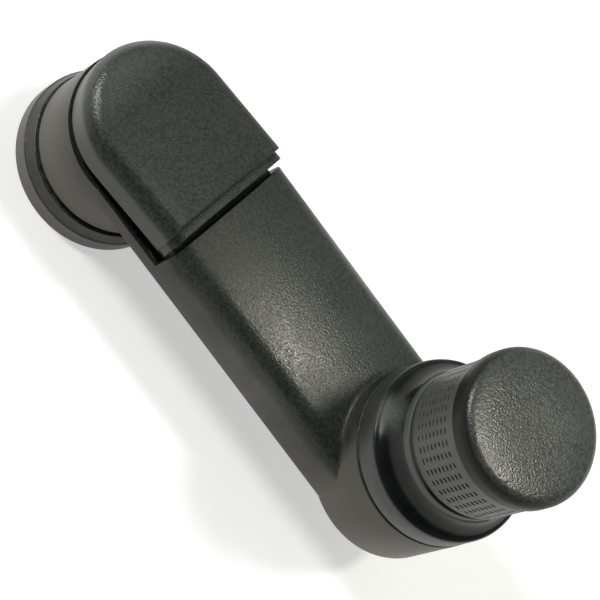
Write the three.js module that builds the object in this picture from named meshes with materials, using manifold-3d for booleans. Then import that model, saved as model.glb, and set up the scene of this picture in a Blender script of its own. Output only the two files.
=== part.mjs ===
import * as THREE from 'three';
import { mergeGeometries, mergeVertices } from 'three/addons/utils/BufferGeometryUtils.js';
import Module from 'manifold-3d';

// Car window winder handle. All lengths are millimetres.
// +Z is the spindle axis, z = 0 the underside of the base ring, and +X points from spindle to knob.

// Clearances and cutting
const seatGap = 0.3; // between pieces that rest on or in one another
const runningGap = 0.4; // between pieces that turn round one another
const overrun = 1; // how far a cutting solid passes the face that it opens

// Round pieces
const largeSegments = 36;
const smallSegments = 18;
const curveSteps = 4;
const edgeSteps = 2; // on small roundings and where they cannot be seen

// Crank arm
const axisDistance = 90; // spindle axis to knob axis
const armSideStep = 1.6; // base ring's wall out from the arm's lower edge
const armDraftWidth = 0.4; // how far each side leans in
const armHeight = 13;
const armFillet = 5.7;
const armCrown = 1.1;
const armWall = 2.4;
const armTopWall = 2.8;
const armRib = 1.6;
const armCellRows = 3;
const armCellColumns = 4;
const shelfThickness = 3.2; // floor of the head, under the hub cover
const stepGap = 0.6; // hub cover's lip to the arm's step, when shut

// Hub boss, below the arm's head
const hubStep = 1.5; // base ring's wall out from the boss's
const hubReach = 12; // arm's underside down to the boss's lower edge
const hubWall = 2.1;
const spigotStep = 4.5; // boss's wall out from the spigot that snaps into the base ring
const spigotWall = 1.9;
const spigotReach = 7.5;
const beadWidth = 1.2;
const beadHeight = 1.1;
const hubRibs = 6;
const hubRib = 1.5;
const hubFloorThickness = 3.4; // solid web between the lower and upper pockets
const hubEdgeWidth = 0.5;

// Head core, the raised body that the hub cover fits over
const headHeight = 5.6;
const headFillet = 0.8;
const wellRadius = 7.3;
const wellWall = 1.8;
const headWall = 2.56;

// Knob pedestal at the arm's far end
const pedestalStep = 0.2; // base ring's wall out from the pedestal's
const pedestalHeight = 18.5;
const pedestalWall = 2.5;
const pedestalDraftWidth = 0.1;
const pedestalEdgeWidth = 0.4;
const pedestalTopWall = 3.7;
const pedestalRibs = 8;
const pedestalBlend = 3;
const studTubeRadius = 7.4;
const studTubeRecess = 3.4;

// Base ring that lies on the door trim
const ringRadius = 19.8; // the handle's widths follow it
const ringHeight = 7.4;
const ringWallHeight = 4.4;
const ringShoulderWidth = 0.5;
const ringTopInset = 1; // outer wall in to the raised lip
const ringLip = 0.4;
const ringWall = 1.9;
const ringTopWall = 1.8;
const ringTubeWall = 1.5;
const ringTubeLift = 2.2;
const ringRibs = 12;
const ringRib = 1.2;
const frictionWasherThickness = 0.4;
const frictionWasherInset = 0.9; // back from the boss's outer wall
const frictionWasherWidth = 2;

// Splined metal insert
const insertRadius = 7.2;
const insertKnurl = 0.35;
const insertKnurls = 24;
const insertLift = 3.2; // above the base ring's underside
const insertTopWall = 3.7;
const splineRadius = 5;
const splineDepth = 0.5;
const splineTeeth = 30;
const tubeWall = 1.7;

// Hub screw and its washers
const screwRadius = 2.9;
const screwHeadRadius = 5.2;
const screwHeadHeight = 2.7;
const screwHeadRound = 1.1;
const screwTipHeight = 0.7;
const screwReach = 8; // shank below the insert's top face
const recessWidth = 1.1;
const recessLength = 5.2;
const recessDepth = 1.5;
const washerRadius = 6.6;
const washerThickness = 1;
const lockWasherRadius = 5.1;
const lockWasherThickness = 1.3;
const lockWasherSlit = 0.8;

// Hub cover
const coverStep = 0.04; // arm's upper side out from the cover's
const coverLength = 38; // outermost round end to the straight end
const coverHeight = 9.5;
const coverFillet = 4;
const coverEndRound = 1;
const coverCrown = 0.7;
const coverWall = 1.8;
const coverEndDepth = 3.3; // how far the straight end's wall comes down
const lipReach = 1.9;
const lipDrop = 1.9; // lip's top below the cover's top
const lipInset = 0.3; // in from the cover's sides
const hookWidth = 4;
const hookThickness = 1.2;
const hookDrop = 3.6;
const hookBead = 0.4;
const hookSpacing = 17;
const hookClearance = 0.6;
const coverAjar = 6; // degrees that the cover stands open in the photograph

// Knob collar
const collarStep = 0.1; // pedestal's wall out from the collar's
const collarBandHeight = 5.4;
const collarBandRound = 0.6;
const collarCoreGap = 0.8; // round the knob core's tube
const collarHeight = 13.5;
const collarLipHeight = 1.8;
const collarLipRound = 0.3;
const collarWall = 1.8;
const collarFloorThickness = 2;
const collarEdgeWidth = 0.4;

// Stud, washers, bush and clip
const studRadius = 4;
const studJournalRadius = 4.6;
const studFlangeRadius = 7.6;
const studFlangeHeight = 2;
const studHeadRadius = 6.2;
const studHeadHeight = 1.5;
const studHeadRound = 0.6;
const studEndHeight = 0.9; // above the clip
const studGrooveDepth = 0.8;
const footWasherThickness = 1;
const footWasherRadius = 7;
const waveWasherThickness = 0.5;
const waveWasherHeight = 0.5;
const waveWasherRadius = 7.2;
const waveWasherWaves = 3;
const bushWall = 1.3;
const bushFlangeRadius = 7.6;
const bushFlangeThickness = 1;
const topWasherThickness = 0.8;
const topWasherRadius = 7.4;
const clipThickness = 0.8;
const clipRadius = 7;
const clipLobes = 3;
const clipLobeWidth = 2.4;
const clipMouthWidth = 5.4;

// Knob core, grip sleeve and end cap
const knobGap = 1.8; // collar lip up to the grip's lower edge
const gripRadius = 16;
const gripHeight = 14.8;
const gripWall = 2.6;
const gripEdgeWidth = 0.4;
const slitColumns = 36;
const slitRows = 7;
const slitPitch = 1.5;
const slitLength = 1.15;
const slitWidth = 0.6;
const slitDepth = 0.6;
const slitProudHeight = 0.08; // how far a notch's middle stands out of its facet
const slitStartHeight = 2.5; // grip's lower edge up to the first row's middle
const coreWall = 1.8;
const coreSkirtHeight = 2.4; // core's tube below the collar's lip
const coreFlangeHeight = 0.9;
const coreFlangeInset = 0.7;
const coreWebThickness = 2;
const coreRibs = 8;
const coreRib = 1.4;
const coreHubWall = 2;
const coreRibDrop = 6.5; // ribs' top below the grip's top
const capRadius = 16.5;
const capHeight = 5.6;
const capFillet = 4.2;
const capCrown = 0.5;
const capWall = 2.2;
const capSkirtWall = 2.4;
const capSpigotWall = 1.4;
const capSpigotReach = 5;

// Colours
const grainedBlack = { color: 0x30352f, roughness: 0.6, metalness: 0 };
const glossBlack = { color: 0x23282a, roughness: 0.25, metalness: 0 };
const innerBlack = { color: 0x1e2122, roughness: 0.5, metalness: 0 };
const plainSteel = { color: 0x9aa0a3, roughness: 0.35, metalness: 0.9 };
const zincPlated = { color: 0xb4b8b2, roughness: 0.3, metalness: 0.9 };
const naturalNylon = { color: 0xd8d3c2, roughness: 0.55, metalness: 0 };

// Levels along the spindle axis, from the base ring upwards
const hubZ = ringHeight + frictionWasherThickness + 2 * seatGap;
const armZ = hubZ + hubReach;
const shelfZ = armZ + shelfThickness;
const headTopZ = shelfZ + headHeight;
const armTopZ = armZ + armHeight;
const coverSeatZ = shelfZ + seatGap;
const insertTopZ = headTopZ - seatGap - washerThickness - seatGap - lockWasherThickness
  - seatGap - screwHeadHeight - seatGap;
const washerZ = insertTopZ + seatGap;
const lockWasherZ = washerZ + washerThickness + seatGap;
const screwHeadZ = lockWasherZ + lockWasherThickness + seatGap;

// Levels along the knob axis
const pedestalTopZ = armZ + pedestalHeight;
const collarZ = pedestalTopZ + seatGap;
const collarTopZ = collarZ + collarHeight;
const studFlangeZ = collarZ + collarFloorThickness + seatGap;
const studTubeZ = armZ + studTubeRecess;
const footWasherZ = studTubeZ - seatGap - footWasherThickness;
const studHeadZ = footWasherZ - seatGap - studHeadHeight;
const waveWasherZ = studFlangeZ + studFlangeHeight + seatGap;
const bushZ = waveWasherZ + waveWasherThickness + waveWasherHeight + seatGap;
const gripZ = collarTopZ + knobGap;
const gripTopZ = gripZ + gripHeight;
const capZ = gripTopZ + seatGap;
const capTopZ = capZ + capHeight;
const knobCoreTopZ = gripTopZ - seatGap;
const bushTopZ = knobCoreTopZ - capSpigotReach / 2;
const topWasherZ = bushTopZ + seatGap;
const clipZ = topWasherZ + topWasherThickness + seatGap;
const studTopZ = clipZ + clipThickness + studEndHeight;

// Plan sizes that several pieces share
const hubRadius = ringRadius - hubStep;
const spigotRadius = hubRadius - spigotStep;
const armHalfWidthBottom = ringRadius - armSideStep;
const armHalfWidthTop = armHalfWidthBottom - armDraftWidth;
const coverHalfWidth = armHalfWidthTop - coverStep;
const pedestalRadius = ringRadius - pedestalStep;
const collarRadius = pedestalRadius - collarStep;
const headInset = coverWall + runningGap;
const headHalfWidth = coverHalfWidth - headInset;
const coverEndX = coverLength - coverHalfWidth;
const stepX = coverEndX + lipReach + stepGap;
const insertBore = insertRadius + seatGap;
const bushBore = studJournalRadius + seatGap;
const bushRadius = bushBore + bushWall;
const coreHubBore = bushRadius + seatGap;
const coreHubRadius = coreHubBore + coreHubWall;
const coreRadius = gripRadius - gripWall - seatGap;
const coreBore = coreRadius - coreWall;
const collarTopRadius = coreRadius + collarCoreGap + collarWall;
const studTubeBore = studRadius + seatGap;

const wasm = await Module();
wasm.setup();

// A closed three.js geometry as a solid that can be joined and cut
function solid(geometry) {
  const plain = geometry.index ? geometry.toNonIndexed() : geometry.clone();
  plain.deleteAttribute('normal');
  plain.deleteAttribute('uv');
  const merged = mergeVertices(plain);
  const corners = merged.index.array;
  const triangles = [];
  for (let i = 0; i < corners.length; i += 3) {
    const [a, b, c] = [corners[i], corners[i + 1], corners[i + 2]];
    if (a !== b && b !== c && c !== a) triangles.push(a, b, c);
  }
  return new wasm.Manifold(new wasm.Mesh({
    numProp: 3,
    vertProperties: new Float32Array(merged.attributes.position.array),
    triVerts: new Uint32Array(triangles),
  }));
}

function join(first, ...others) {
  return others.reduce((whole, next) => whole.add(next), first);
}

function cut(first, ...others) {
  return others.reduce((whole, next) => whole.subtract(next), first);
}

function geometryOf(body) {
  const mesh = body.getMesh();
  const geometry = new THREE.BufferGeometry();
  const places = new THREE.BufferAttribute(new Float32Array(mesh.vertProperties), mesh.numProp);
  geometry.setAttribute('position', places);
  geometry.setIndex([...mesh.triVerts]);
  geometry.computeVertexNormals();
  return geometry;
}

function piece(name, body, finish) {
  const mesh = new THREE.Mesh(geometryOf(body), new THREE.MeshStandardMaterial(finish));
  mesh.name = name;
  return mesh;
}

// A profile of [radius, height] points turned round the Z axis, moved to centreX
function revolve(profile, segments = largeSegments, centreX = 0) {
  const points = profile.map(([radius, height]) => new THREE.Vector2(radius, height));
  if (THREE.ShapeUtils.area(points) < 0) points.reverse();
  points.push(points[0].clone());
  const geometry = new THREE.LatheGeometry(points, segments);
  geometry.rotateX(Math.PI / 2);
  geometry.translate(centreX, 0, 0);
  return solid(geometry);
}

function disc(radius, bottom, top, segments = largeSegments, centreX = 0) {
  return revolve([[0, bottom], [radius, bottom], [radius, top], [0, top]], segments, centreX);
}

function tube(outer, inner, bottom, top, segments = largeSegments, centreX = 0) {
  const profile = [[inner, bottom], [outer, bottom], [outer, top], [inner, top]];
  return revolve(profile, segments, centreX);
}

function block(x0, x1, y0, y1, z0, z1) {
  const geometry = new THREE.BoxGeometry(x1 - x0, y1 - y0, z1 - z0);
  geometry.translate((x0 + x1) / 2, (y0 + y1) / 2, (z0 + z1) / 2);
  return solid(geometry);
}

function prism(shape, bottom, top, steps = curveSteps) {
  const settings = { depth: top - bottom, bevelEnabled: false, curveSegments: steps };
  const geometry = new THREE.ExtrudeGeometry(shape, settings);
  geometry.translate(0, 0, bottom);
  return solid(geometry);
}

// A section drawn in Y and Z, run along X
function bar(shape, start, end) {
  const settings = { depth: end - start, bevelEnabled: false, curveSegments: curveSteps };
  const geometry = new THREE.ExtrudeGeometry(shape, settings);
  const turn = new THREE.Matrix4().makeBasis(
    new THREE.Vector3(0, 1, 0),
    new THREE.Vector3(0, 0, 1),
    new THREE.Vector3(1, 0, 0),
  );
  geometry.applyMatrix4(turn);
  geometry.translate(start, 0, 0);
  return solid(geometry);
}

// Flat fins that stand round an axis, each from the inner to the outer radius
function fins(count, inner, outer, width, bottom, top, centreX = 0) {
  const all = [];
  for (let i = 0; i < count; i += 1) {
    const fin = new THREE.BoxGeometry(outer - inner, width, top - bottom);
    fin.translate((inner + outer) / 2, 0, (bottom + top) / 2);
    fin.rotateZ((i + 1 / 2) * 2 * Math.PI / count);
    fin.translate(centreX, 0, 0);
    all.push(fin);
  }
  return solid(mergeGeometries(all));
}

// The pockets left between ribs in a ring-shaped hollow
function ribbedHollow(count, rib, inner, outer, bottom, top, centreX = 0) {
  const hollow = tube(outer, inner, bottom, top, largeSegments, centreX);
  const [low, high] = [bottom - overrun, top + overrun];
  return hollow.subtract(fins(count, inner - overrun, outer + overrun, rib, low, high, centreX));
}

// Points of a quarter circle from angle to angle, round a centre
function arc(centreRadius, centreHeight, radius, from, to, steps = curveSteps) {
  const points = [];
  for (let i = 0; i <= steps; i += 1) {
    const angle = from + (to - from) * i / steps;
    points.push([centreRadius + radius * Math.cos(angle), centreHeight + radius * Math.sin(angle)]);
  }
  return points;
}

// Plan outline with one round end about the spindle axis and one straight end
function headOutline(halfWidth, endX) {
  const points = [new THREE.Vector2(endX, -halfWidth), new THREE.Vector2(endX, halfWidth)];
  const steps = largeSegments / 2;
  for (let i = 0; i <= steps; i += 1) {
    const angle = Math.PI / 2 + Math.PI * i / steps;
    points.push(new THREE.Vector2(halfWidth * Math.cos(angle), halfWidth * Math.sin(angle)));
  }
  return points;
}

// A stack of outlines with equal numbers of points, closed at both ends
function loft(rings) {
  const count = rings[0].outline.length;
  const positions = rings.flatMap((ring) => ring.outline.flatMap((p) => [p.x, p.y, ring.height]));
  const index = [];
  for (let i = 0; i + 1 < rings.length; i += 1) {
    for (let j = 0; j < count; j += 1) {
      const [a, b] = [i * count + j, i * count + (j + 1) % count];
      index.push(a, b, b + count, a, b + count, a + count);
    }
  }
  const last = (rings.length - 1) * count;
  THREE.ShapeUtils.triangulateShape(rings[0].outline, []).forEach(([a, b, c]) => index.push(a, c, b));
  THREE.ShapeUtils.triangulateShape(rings.at(-1).outline, []).forEach(([a, b, c]) => {
    index.push(last + a, last + b, last + c);
  });
  const geometry = new THREE.BufferGeometry();
  geometry.setAttribute('position', new THREE.Float32BufferAttribute(positions, 3));
  geometry.setIndex(index);
  return solid(geometry);
}

// A head-shaped block whose top edge is rounded, with a crowned top and a crisper straight end
function headForm({ halfWidth, endX, bottom, top, fillet, endRound, crown }) {
  const rings = [{ outline: headOutline(halfWidth, endX), height: bottom }];
  const springZ = top - crown - fillet;
  for (let i = 0; i <= curveSteps; i += 1) {
    const angle = Math.PI / 2 * i / curveSteps;
    const height = springZ + fillet * Math.sin(angle);
    const inset = fillet * (1 - Math.cos(angle));
    const rise = Math.max(0, height - (top - crown - endRound));
    const endInset = endRound - Math.sqrt(Math.max(0, endRound ** 2 - rise ** 2));
    rings.push({ outline: headOutline(halfWidth - inset, endX - endInset), height });
  }
  const flat = halfWidth - fillet;
  for (let i = 1; i < curveSteps && crown > 0; i += 1) {
    const left = flat * (1 - i / curveSteps);
    const height = top - crown * (left / flat) ** 2;
    rings.push({ outline: headOutline(left, endX - endRound), height });
  }
  return loft(rings);
}

// Cross-section in Y and Z with rounded upper corners and a crowned top
function crownedSection({ bottomHalf, topHalf, bottom, top, fillet, crown }) {
  const shape = new THREE.Shape();
  shape.moveTo(-bottomHalf, bottom);
  shape.lineTo(bottomHalf, bottom);
  shape.lineTo(topHalf, top - fillet);
  shape.absarc(topHalf - fillet, top - fillet, fillet, 0, Math.PI / 2, false);
  shape.quadraticCurveTo(0, top + 2 * crown, fillet - topHalf, top);
  shape.absarc(fillet - topHalf, top - fillet, fillet, Math.PI / 2, Math.PI, false);
  shape.closePath();
  return shape;
}

function armOutside() {
  return crownedSection({
    bottomHalf: armHalfWidthBottom, topHalf: armHalfWidthTop, bottom: armZ, top: armTopZ,
    fillet: armFillet, crown: armCrown,
  });
}

function armInside() {
  return crownedSection({
    bottomHalf: armHalfWidthBottom - armWall, topHalf: armHalfWidthTop - armWall,
    bottom: armZ - overrun, top: armTopZ - armTopWall, fillet: armFillet - armWall, crown: armCrown,
  });
}

// Ribbed hollow under the arm, between the step and the knob pedestal
function armPockets() {
  const start = stepX + armWall;
  const hollow = bar(armInside(), start, axisDistance);
  const pedestal = disc(pedestalRadius, armZ - 2 * overrun, armTopZ, largeSegments, axisDistance);
  const width = 2 * armHalfWidthTop;
  const top = armTopZ + armCrown;
  const ribs = [];
  for (let i = 1; i < armCellRows; i += 1) {
    const y = (armHalfWidthTop - armWall) * (2 * i / armCellRows - 1);
    ribs.push(block(0, axisDistance, y - armRib / 2, y + armRib / 2, armZ - 2 * overrun, top));
  }
  const reach = axisDistance - pedestalRadius - start;
  for (let i = 1; i < armCellColumns; i += 1) {
    const x = start + reach * i / armCellColumns;
    ribs.push(block(x - armRib / 2, x + armRib / 2, -width, width, armZ - 2 * overrun, top));
  }
  const endRibX = axisDistance - pedestalRadius;
  ribs.push(block(endRibX - armRib / 2, endRibX + armRib / 2, -width, width, armZ - 2 * overrun, top));
  return cut(hollow, pedestal, ...ribs);
}

// Concave blend where the arm's top runs into the knob pedestal
function pedestalFoot() {
  const corner = arc(
    pedestalRadius + pedestalBlend, armTopZ + pedestalBlend, pedestalBlend, Math.PI, 1.5 * Math.PI,
  );
  const inner = pedestalRadius - pedestalWall / 2;
  const foot = revolve([
    [inner, armTopZ - armTopWall],
    [pedestalRadius + pedestalBlend, armTopZ - armTopWall],
    ...corner.reverse(),
    [inner, armTopZ + pedestalBlend],
  ], largeSegments, axisDistance);
  const half = armHalfWidthTop - armFillet;
  const reach = pedestalRadius + pedestalBlend + overrun;
  return foot.intersect(block(axisDistance - reach, axisDistance, -half, half, armZ, pedestalTopZ));
}

// Hub boss with its spigot, bead, tube for the metal insert and ribbed hollows
function hubBoss() {
  const spigotZ = hubZ - spigotReach;
  const outside = revolve([
    [0, spigotZ], [spigotRadius + beadWidth / 2, spigotZ],
    [spigotRadius + beadWidth, spigotZ + beadHeight / 2],
    [spigotRadius + beadWidth, spigotZ + beadHeight], [spigotRadius, spigotZ + beadHeight],
    [spigotRadius, hubZ], [hubRadius - hubEdgeWidth, hubZ], [hubRadius, hubZ + hubEdgeWidth],
    [hubRadius, shelfZ], [0, shelfZ],
  ]);
  const roofZ = shelfZ - hubFloorThickness + seatGap;
  const tubeRadius = insertBore + tubeWall;
  const skirtHollow = ribbedHollow(
    hubRibs, hubRib, spigotRadius, hubRadius - hubWall, hubZ - overrun, roofZ,
  );
  const spigotHollow = ribbedHollow(
    hubRibs, hubRib, tubeRadius, spigotRadius - spigotWall, spigotZ - overrun, roofZ,
  );
  const mouth = disc(tubeRadius + overrun, spigotZ - overrun, insertLift - seatGap, smallSegments);
  return cut(outside, skirtHollow, spigotHollow, mouth);
}

// The raised body under the hub cover, joined to the arm at the step
function headCore() {
  const form = headForm({
    halfWidth: headHalfWidth, endX: stepX + headFillet, bottom: shelfZ - overrun, top: headTopZ,
    fillet: headFillet, endRound: headFillet / 2, crown: 0,
  });
  const pocketOuter = headHalfWidth - headWall;
  const pockets = ribbedHollow(
    hubRibs, hubRib, wellRadius + wellWall, pocketOuter, shelfZ + overrun, headTopZ + overrun,
  );
  return form.subtract(pockets);
}

function hookSlots() {
  const inner = coverEndX - coverWall - hookClearance;
  const outer = inner + hookThickness + hookBead + 2 * hookClearance;
  const half = hookWidth / 2 + hookClearance;
  const slots = [-1, 1].map((side) => block(
    inner, outer, side * hookSpacing / 2 - half, side * hookSpacing / 2 + half,
    headTopZ - headHeight + overrun, headTopZ + overrun,
  ));
  return join(...slots);
}

function crankArm() {
  const recess = block(
    -2 * hubRadius, stepX, -2 * hubRadius, 2 * hubRadius, shelfZ, armTopZ + 2 * armHeight,
  );
  const body = cut(bar(armOutside(), 0, axisDistance), recess);
  const pedestal = revolve([
    [0, armZ], [pedestalRadius, armZ],
    [pedestalRadius - pedestalDraftWidth, pedestalTopZ - pedestalEdgeWidth],
    [pedestalRadius - pedestalEdgeWidth, pedestalTopZ], [0, pedestalTopZ],
  ], largeSegments, axisDistance);
  const pedestalHollow = ribbedHollow(
    pedestalRibs, armRib, studTubeRadius, pedestalRadius - pedestalWall,
    armZ - overrun, pedestalTopZ - pedestalTopWall, axisDistance,
  );
  const studMouth = disc(
    studTubeRadius + overrun, armZ - overrun, studTubeZ, smallSegments, axisDistance,
  );
  const studBore = disc(
    studTubeBore, armZ - overrun, pedestalTopZ + overrun, smallSegments, axisDistance,
  );
  const well = disc(wellRadius, insertTopZ, headTopZ + overrun, smallSegments);
  const insertSeat = disc(insertBore, 0 - overrun, insertTopZ + seatGap, smallSegments);
  const solidArm = join(cut(body, armPockets()), pedestalFoot(), pedestal, hubBoss(), headCore());
  return cut(solidArm, pedestalHollow, studMouth, studBore, well, insertSeat, hookSlots());
}

function baseRing() {
  const topRadius = ringRadius - ringTopInset;
  const tubeInner = spigotRadius + runningGap;
  const tubeOuter = tubeInner + ringTubeWall;
  const cavityOuter = ringRadius - ringWall;
  const cavityZ = ringHeight - ringTopWall;
  const shell = revolve([
    [cavityOuter, 0], [ringRadius, 0], [ringRadius, ringWallHeight],
    [ringRadius - ringShoulderWidth, ringWallHeight + ringShoulderWidth],
    ...arc(topRadius - ringLip, ringHeight - ringLip, ringLip, 0, Math.PI / 2, edgeSteps),
    [tubeInner, ringHeight], [tubeInner, ringTubeLift], [tubeOuter, ringTubeLift],
    [tubeOuter, cavityZ], [cavityOuter, cavityZ],
  ]);
  const ribs = fins(ringRibs, tubeOuter - ringTubeWall / 2, cavityOuter + ringWall / 2, ringRib,
    ringTubeLift, cavityZ + ringTopWall / 2);
  return join(shell, ribs);
}

function frictionWasher() {
  const outer = hubRadius - frictionWasherInset;
  const bottom = ringHeight + seatGap;
  return tube(outer, outer - frictionWasherWidth, bottom, bottom + frictionWasherThickness);
}

// Outline with small teeth, tips at the outer radius and roots at the inner one
function toothedShape(outer, inner, teeth) {
  const points = [];
  for (let i = 0; i < 2 * teeth; i += 1) {
    const radius = i % 2 ? outer : inner;
    const angle = Math.PI * i / teeth;
    points.push(new THREE.Vector2(radius * Math.cos(angle), radius * Math.sin(angle)));
  }
  return new THREE.Shape(points);
}

function splineInsert() {
  const outside = prism(toothedShape(insertRadius, insertRadius - insertKnurl, insertKnurls),
    insertLift, insertTopZ);
  const splines = prism(toothedShape(splineRadius, splineRadius - splineDepth, splineTeeth),
    insertLift - overrun, insertTopZ - insertTopWall);
  const screwHole = disc(screwRadius + seatGap, insertLift, insertTopZ + overrun, smallSegments);
  return cut(outside, splines, screwHole);
}

function hubScrew() {
  const tipZ = insertTopZ - screwReach;
  const top = screwHeadZ + screwHeadHeight;
  const form = revolve([
    [0, tipZ], [screwRadius - screwTipHeight, tipZ], [screwRadius, tipZ + screwTipHeight],
    [screwRadius, screwHeadZ], [screwHeadRadius, screwHeadZ],
    ...arc(screwHeadRadius - screwHeadRound, top - screwHeadRound, screwHeadRound, 0, Math.PI / 2),
    [0, top],
  ], smallSegments);
  const [half, long] = [recessWidth / 2, recessLength / 2];
  const floor = top - recessDepth;
  return cut(form,
    block(-long, long, -half, half, floor, top + overrun),
    block(-half, half, -long, long, floor, top + overrun));
}

function flatWasher(outer, inner, bottom, thickness) {
  return tube(outer, inner, bottom, bottom + thickness, smallSegments);
}

function lockWasher() {
  const ring = flatWasher(lockWasherRadius, screwRadius + seatGap, lockWasherZ, lockWasherThickness);
  const half = lockWasherSlit / 2;
  return ring.subtract(block(0, 2 * lockWasherRadius, -half, half,
    lockWasherZ - overrun, lockWasherZ + lockWasherThickness + overrun));
}

// Hub cover, drawn shut, with its skirt's lower edge at height zero and the spindle at x = 0
function hubCover() {
  const outside = headForm({
    halfWidth: coverHalfWidth, endX: coverEndX, bottom: 0, top: coverHeight,
    fillet: coverFillet, endRound: coverEndRound, crown: coverCrown,
  });
  const inside = headForm({
    halfWidth: coverHalfWidth - coverWall, endX: coverEndX - coverWall, bottom: -overrun,
    top: coverHeight - coverWall, fillet: coverFillet - coverWall, endRound: coverEndRound / 2,
    crown: coverCrown,
  });
  const endEdge = coverHeight - coverEndDepth;
  const half = coverHalfWidth - coverWall;
  const opening = block(0, coverEndX + lipReach + overrun, -half, half, -overrun, endEdge);
  const lip = bar(crownedSection({
    bottomHalf: coverHalfWidth - lipInset, topHalf: coverHalfWidth - lipInset, bottom: 0,
    top: coverHeight - coverCrown - lipDrop, fillet: coverFillet - lipInset, crown: coverCrown,
  }), coverEndX - coverWall, coverEndX + lipReach);
  const hookInner = coverEndX - coverWall;
  const hooks = [-1, 1].map((side) => {
    const [y0, y1] = [side * hookSpacing / 2 - hookWidth / 2, side * hookSpacing / 2 + hookWidth / 2];
    const tab = block(hookInner, hookInner + hookThickness, y0, y1,
      endEdge - hookDrop, endEdge + coverWall);
    const bead = block(hookInner, hookInner + hookThickness + hookBead, y0, y1,
      endEdge - hookDrop, endEdge - hookDrop / 2);
    return join(tab, bead);
  });
  const shell = join(cut(outside, inside), cut(lip, inside));
  return join(cut(shell, opening), ...hooks);
}

// A straight band, a concave flare that ends upright and a narrow lip
function knobCollar() {
  const bandTopZ = collarZ + collarBandHeight;
  const flareZ = bandTopZ + collarBandRound;
  const lipZ = collarTopZ - collarLipHeight;
  const [reach, rise] = [collarRadius - collarBandRound - collarTopRadius, lipZ - flareZ];
  const flareRadius = (reach ** 2 + rise ** 2) / (2 * reach);
  const centreRadius = collarTopRadius + flareRadius;
  const foot = Math.PI + Math.asin(rise / flareRadius);
  const inner = arc(centreRadius, lipZ, flareRadius + collarWall, Math.PI, foot, edgeSteps);
  return revolve([
    [studTubeBore, collarZ], [collarRadius - collarEdgeWidth, collarZ],
    [collarRadius, collarZ + collarEdgeWidth],
    ...arc(collarRadius - collarBandRound, bandTopZ, collarBandRound, 0, Math.PI / 2, edgeSteps),
    ...arc(centreRadius, lipZ, flareRadius, foot, Math.PI).slice(1),
    [collarTopRadius, collarTopZ - collarLipRound],
    [collarTopRadius - collarLipRound, collarTopZ], [collarTopRadius - collarWall, collarTopZ],
    ...inner, [inner.at(-1)[0], collarZ + collarFloorThickness],
    [studTubeBore, collarZ + collarFloorThickness],
  ]);
}

function knobStud() {
  const flangeTop = studFlangeZ + studFlangeHeight;
  const grooveRadius = studJournalRadius - studGrooveDepth;
  const grooveTop = clipZ + clipThickness + seatGap;
  return revolve([
    [0, studHeadZ], [studHeadRadius - studHeadRound, studHeadZ],
    [studHeadRadius, studHeadZ + studHeadRound], [studHeadRadius, studHeadZ + studHeadHeight],
    [studRadius, studHeadZ + studHeadHeight], [studRadius, studFlangeZ],
    [studFlangeRadius, studFlangeZ], [studFlangeRadius, flangeTop],
    [studJournalRadius, flangeTop], [studJournalRadius, clipZ - seatGap],
    [grooveRadius, clipZ - seatGap], [grooveRadius, grooveTop],
    [studJournalRadius, grooveTop], [studJournalRadius, studTopZ - studGrooveDepth / 2],
    [studJournalRadius - studGrooveDepth / 2, studTopZ], [0, studTopZ],
  ], smallSegments);
}

// A thin ring that waves up and down round the stud
function waveWasher() {
  const corners = [
    { radius: bushBore, lift: 0 },
    { radius: waveWasherRadius, lift: 0 },
    { radius: waveWasherRadius, lift: waveWasherThickness },
    { radius: bushBore, lift: waveWasherThickness },
  ];
  const steps = 2 * smallSegments;
  const positions = [];
  const index = [];
  for (let i = 0; i < steps; i += 1) {
    const angle = 2 * Math.PI * i / steps;
    const bottom = waveWasherZ + waveWasherHeight * Math.sin(waveWasherWaves * angle / 2) ** 2;
    corners.forEach(({ radius, lift }, corner) => {
      positions.push(radius * Math.cos(angle), radius * Math.sin(angle), bottom + lift);
      const here = corners.length * i + corner;
      const beside = corners.length * i + (corner + 1) % corners.length;
      const [ahead, across] = [here, beside].map((k) => (k + corners.length) % (corners.length * steps));
      index.push(here, across, beside, here, ahead, across);
    });
  }
  const geometry = new THREE.BufferGeometry();
  geometry.setAttribute('position', new THREE.Float32BufferAttribute(positions, 3));
  geometry.setIndex(index);
  return solid(geometry);
}

function knobBush() {
  return revolve([
    [bushBore, bushZ], [bushFlangeRadius, bushZ], [bushFlangeRadius, bushZ + bushFlangeThickness],
    [bushRadius, bushZ + bushFlangeThickness], [bushRadius, bushTopZ], [bushBore, bushTopZ],
  ], smallSegments);
}

// A ring with inward lobes that grip the stud's groove, open on one side
function retainingClip() {
  const grip = studJournalRadius - studGrooveDepth + seatGap;
  const ringInner = studJournalRadius + seatGap;
  const ring = flatWasher(clipRadius, ringInner, clipZ, clipThickness);
  const lobes = fins(clipLobes, grip, clipRadius - seatGap, clipLobeWidth, clipZ, clipZ + clipThickness);
  const half = clipMouthWidth / 2;
  const [low, high] = [clipZ - overrun, clipZ + clipThickness + overrun];
  const trimmed = cut(lobes, disc(grip, low, high, smallSegments));
  return cut(join(ring, trimmed), block(0, 2 * clipRadius, -half, half, low, high));
}

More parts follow.
